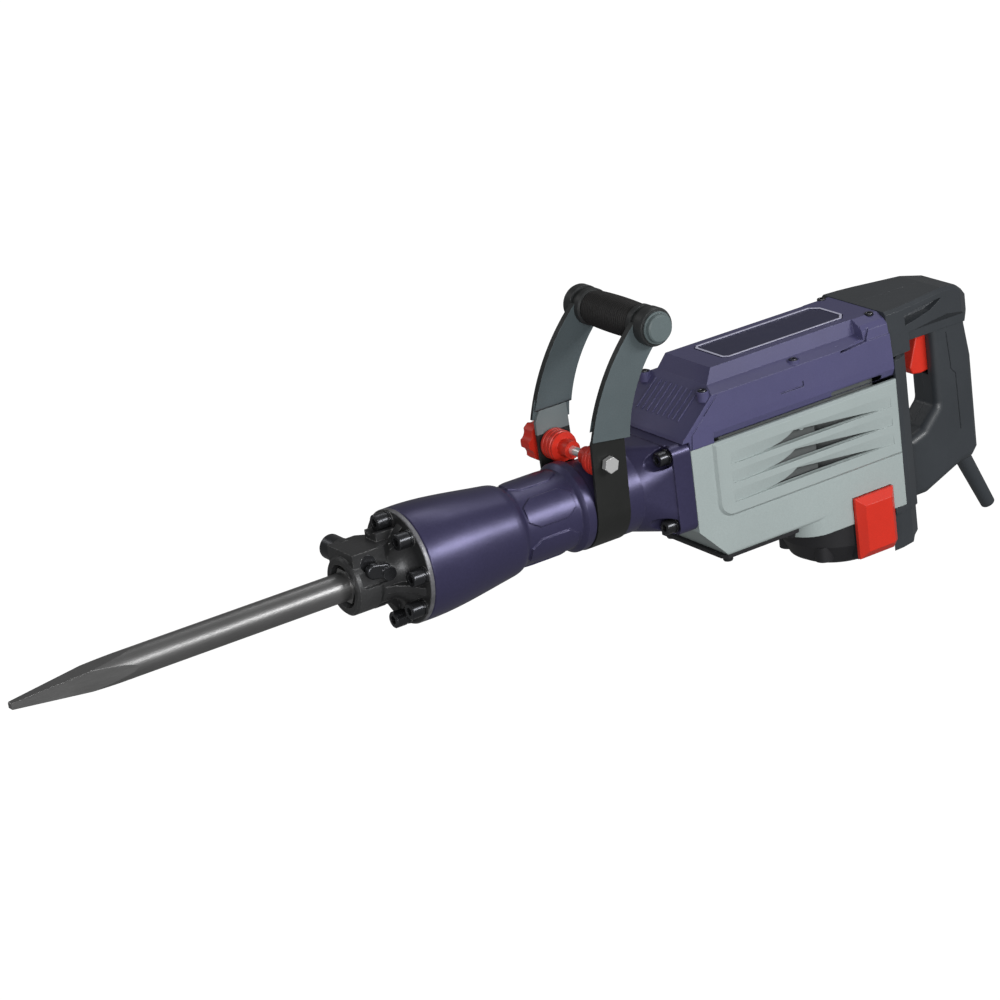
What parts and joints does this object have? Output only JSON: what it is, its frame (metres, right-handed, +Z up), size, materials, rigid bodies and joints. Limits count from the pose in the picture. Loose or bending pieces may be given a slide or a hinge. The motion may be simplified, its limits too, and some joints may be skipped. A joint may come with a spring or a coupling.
{
  "type": "electric jackhammer",
  "caption": "Electric demolition hammer with a hex-shank point chisel, painted barrel, two-tone casing, clamp-on side handle and a D-shaped rear handle with a trigger.",
  "frame": {"origin": "centre of the tool holder's mouth, on the hammer axis", "axes": "+X back along the hammer axis from the chisel to the rear handle, +Y to the operator's right, +Z up through the side handle and the top cover"},
  "size_m": [1.011, 0.129, 0.3168],
  "materials": {
    "tool_steel": "ground and forged, satin",
    "cast_black": "rough casting, painted black",
    "black_bolt": "black oxide",
    "hardened_steel": "ground",
    "light_alloy": "cast, machined faces",
    "barrel_paint": "deep blue-violet gloss enamel",
    "buffer_rubber": "oil-resistant rubber",
    "winding": "lacquered copper",
    "inner_plastic": "moulded, inside the casing",
    "casing_grey": "fine moulded texture",
    "casing_blue": "satin moulded",
    "badge": "dark field in a pale rim, no lettering",
    "motor_black": "coarse moulded texture",
    "handle_black": "fine moulded texture",
    "signal_red": "satin gloss",
    "arm_grey": "flat blue-grey",
    "strap_black": "black coated steel",
    "bright_steel": "zinc plated",
    "grip_rubber": "ribbed",
    "cap_grey": "moulded"
  },
  "bodies": {
    "housing": {"front_cover": "cast_black", "front_cover_bolts": "black_bolt", "barrel_bolts": "black_bolt", "lock_washers": "black_bolt", "pin_keeper": "black_bolt", "housing_screws": "black_bolt", "tool_sleeve": "hardened_steel", "impact_guides": "hardened_steel", "cylinder_liner": "hardened_steel", "bearings": "hardened_steel", "stator": "hardened_steel", "trigger_pin": "hardened_steel", "crank_case": "light_alloy", "gear_case_lid": "light_alloy", "barrel": "barrel_paint", "damper_ring": "buffer_rubber", "field_coils": "winding", "brush_holders": "inner_plastic", "carbon_brushes": "inner_plastic", "switch_body": "inner_plastic", "side_cover_left": "casing_grey", "side_cover_right": "casing_grey", "top_cover": "casing_blue", "badge_plate": "badge", "motor_housing": "motor_black", "base_plate": "motor_black", "rear_housing": "handle_black", "handle_shell_left": "handle_black", "handle_shell_right": "handle_black", "cord_guard": "handle_black", "brush_covers": "signal_red"},
    "chisel": {"chisel": "tool_steel"},
    "impact_bolt": {"impact_bolt": "hardened_steel"},
    "retaining_pin": {"retaining_pin": "black_bolt"},
    "striker": {"striker": "hardened_steel"},
    "piston": {"piston": "light_alloy", "piston_pin": "hardened_steel"},
    "connecting_rod": {"connecting_rod": "hardened_steel", "crank_pin": "hardened_steel"},
    "crank": {"crankshaft": "hardened_steel", "crank_gear": "hardened_steel"},
    "layshaft": {"layshaft": "hardened_steel", "layshaft_gear": "hardened_steel", "layshaft_pinion": "hardened_steel"},
    "armature": {"armature_shaft": "hardened_steel", "motor_pinion": "hardened_steel", "wound_armature": "hardened_steel", "commutator": "winding", "cooling_fan": "inner_plastic"},
    "side_handle": {"clamp_strap": "strap_black", "strap_liner": "buffer_rubber", "side_handle_arms": "arm_grey", "grip_tube": "hardened_steel", "grip_rubber": "grip_rubber", "grip_collars": "cap_grey", "grip_caps": "cap_grey", "clamp_bolt": "bright_steel", "clamp_spacers": "signal_red"},
    "clamp_knob": {"clamp_knob": "signal_red"},
    "trigger": {"trigger": "signal_red"}
  },
  "joints": [
    {"name": "chisel_slide", "type": "slide", "parent": "housing", "child": "chisel", "axis": [-1, 0, 0], "range_m": [0, 0.025]},
    {"name": "impact_bolt_slide", "type": "slide", "parent": "housing", "child": "impact_bolt", "axis": [-1, 0, 0], "range_m": [0, 0.01]},
    {"name": "retaining_pin_turn", "type": "hinge", "parent": "housing", "child": "retaining_pin", "pos_m": [0.017, 0, 0.02], "axis": [0, 1, 0], "range_deg": [0, 180]},
    {"name": "striker_slide", "type": "slide", "parent": "housing", "child": "striker", "axis": [1, 0, 0], "range_m": [0, 0.028]},
    {"name": "piston_slide", "type": "slide", "parent": "housing", "child": "piston", "axis": [-1, 0, 0], "range_m": [0, 0.044]},
    {"name": "rod_swing", "type": "hinge", "parent": "piston", "child": "connecting_rod", "pos_m": [0.328, 0, 0], "axis": [0, 0, 1], "range_deg": [-11.5, 11.5]},
    {"name": "crank_spin", "type": "hinge", "parent": "housing", "child": "crank", "pos_m": [0.416, 0, 0], "axis": [0, 0, 1], "continuous": true},
    {"name": "layshaft_spin", "type": "hinge", "parent": "housing", "child": "layshaft", "pos_m": [0.47, 0, 0], "axis": [0, 0, 1], "continuous": true},
    {"name": "armature_spin", "type": "hinge", "parent": "housing", "child": "armature", "pos_m": [0.515, 0, 0], "axis": [0, 0, 1], "continuous": true},
    {"name": "handle_swivel", "type": "hinge", "parent": "housing", "child": "side_handle", "pos_m": [0.25, 0, 0], "axis": [1, 0, 0], "range_deg": [-180, 180]},
    {"name": "knob_spin", "type": "hinge", "parent": "side_handle", "child": "clamp_knob", "pos_m": [0.2475, 0, 0.044], "axis": [0, 1, 0], "continuous": true},
    {"name": "trigger_squeeze", "type": "hinge", "parent": "housing", "child": "trigger", "pos_m": [0.639, 0, 0.047], "axis": [0, -1, 0], "range_deg": [0, 10], "stiffness_Nm_per_rad": 1.5}
  ],
  "couplings": [
    {"joint": "impact_bolt_slide", "follows": "chisel_slide", "ratio": 0.4},
    {"joint": "layshaft_spin", "follows": "crank_spin", "ratio": -2.8571},
    {"joint": "armature_spin", "follows": "crank_spin", "ratio": 11.429}
  ]
}
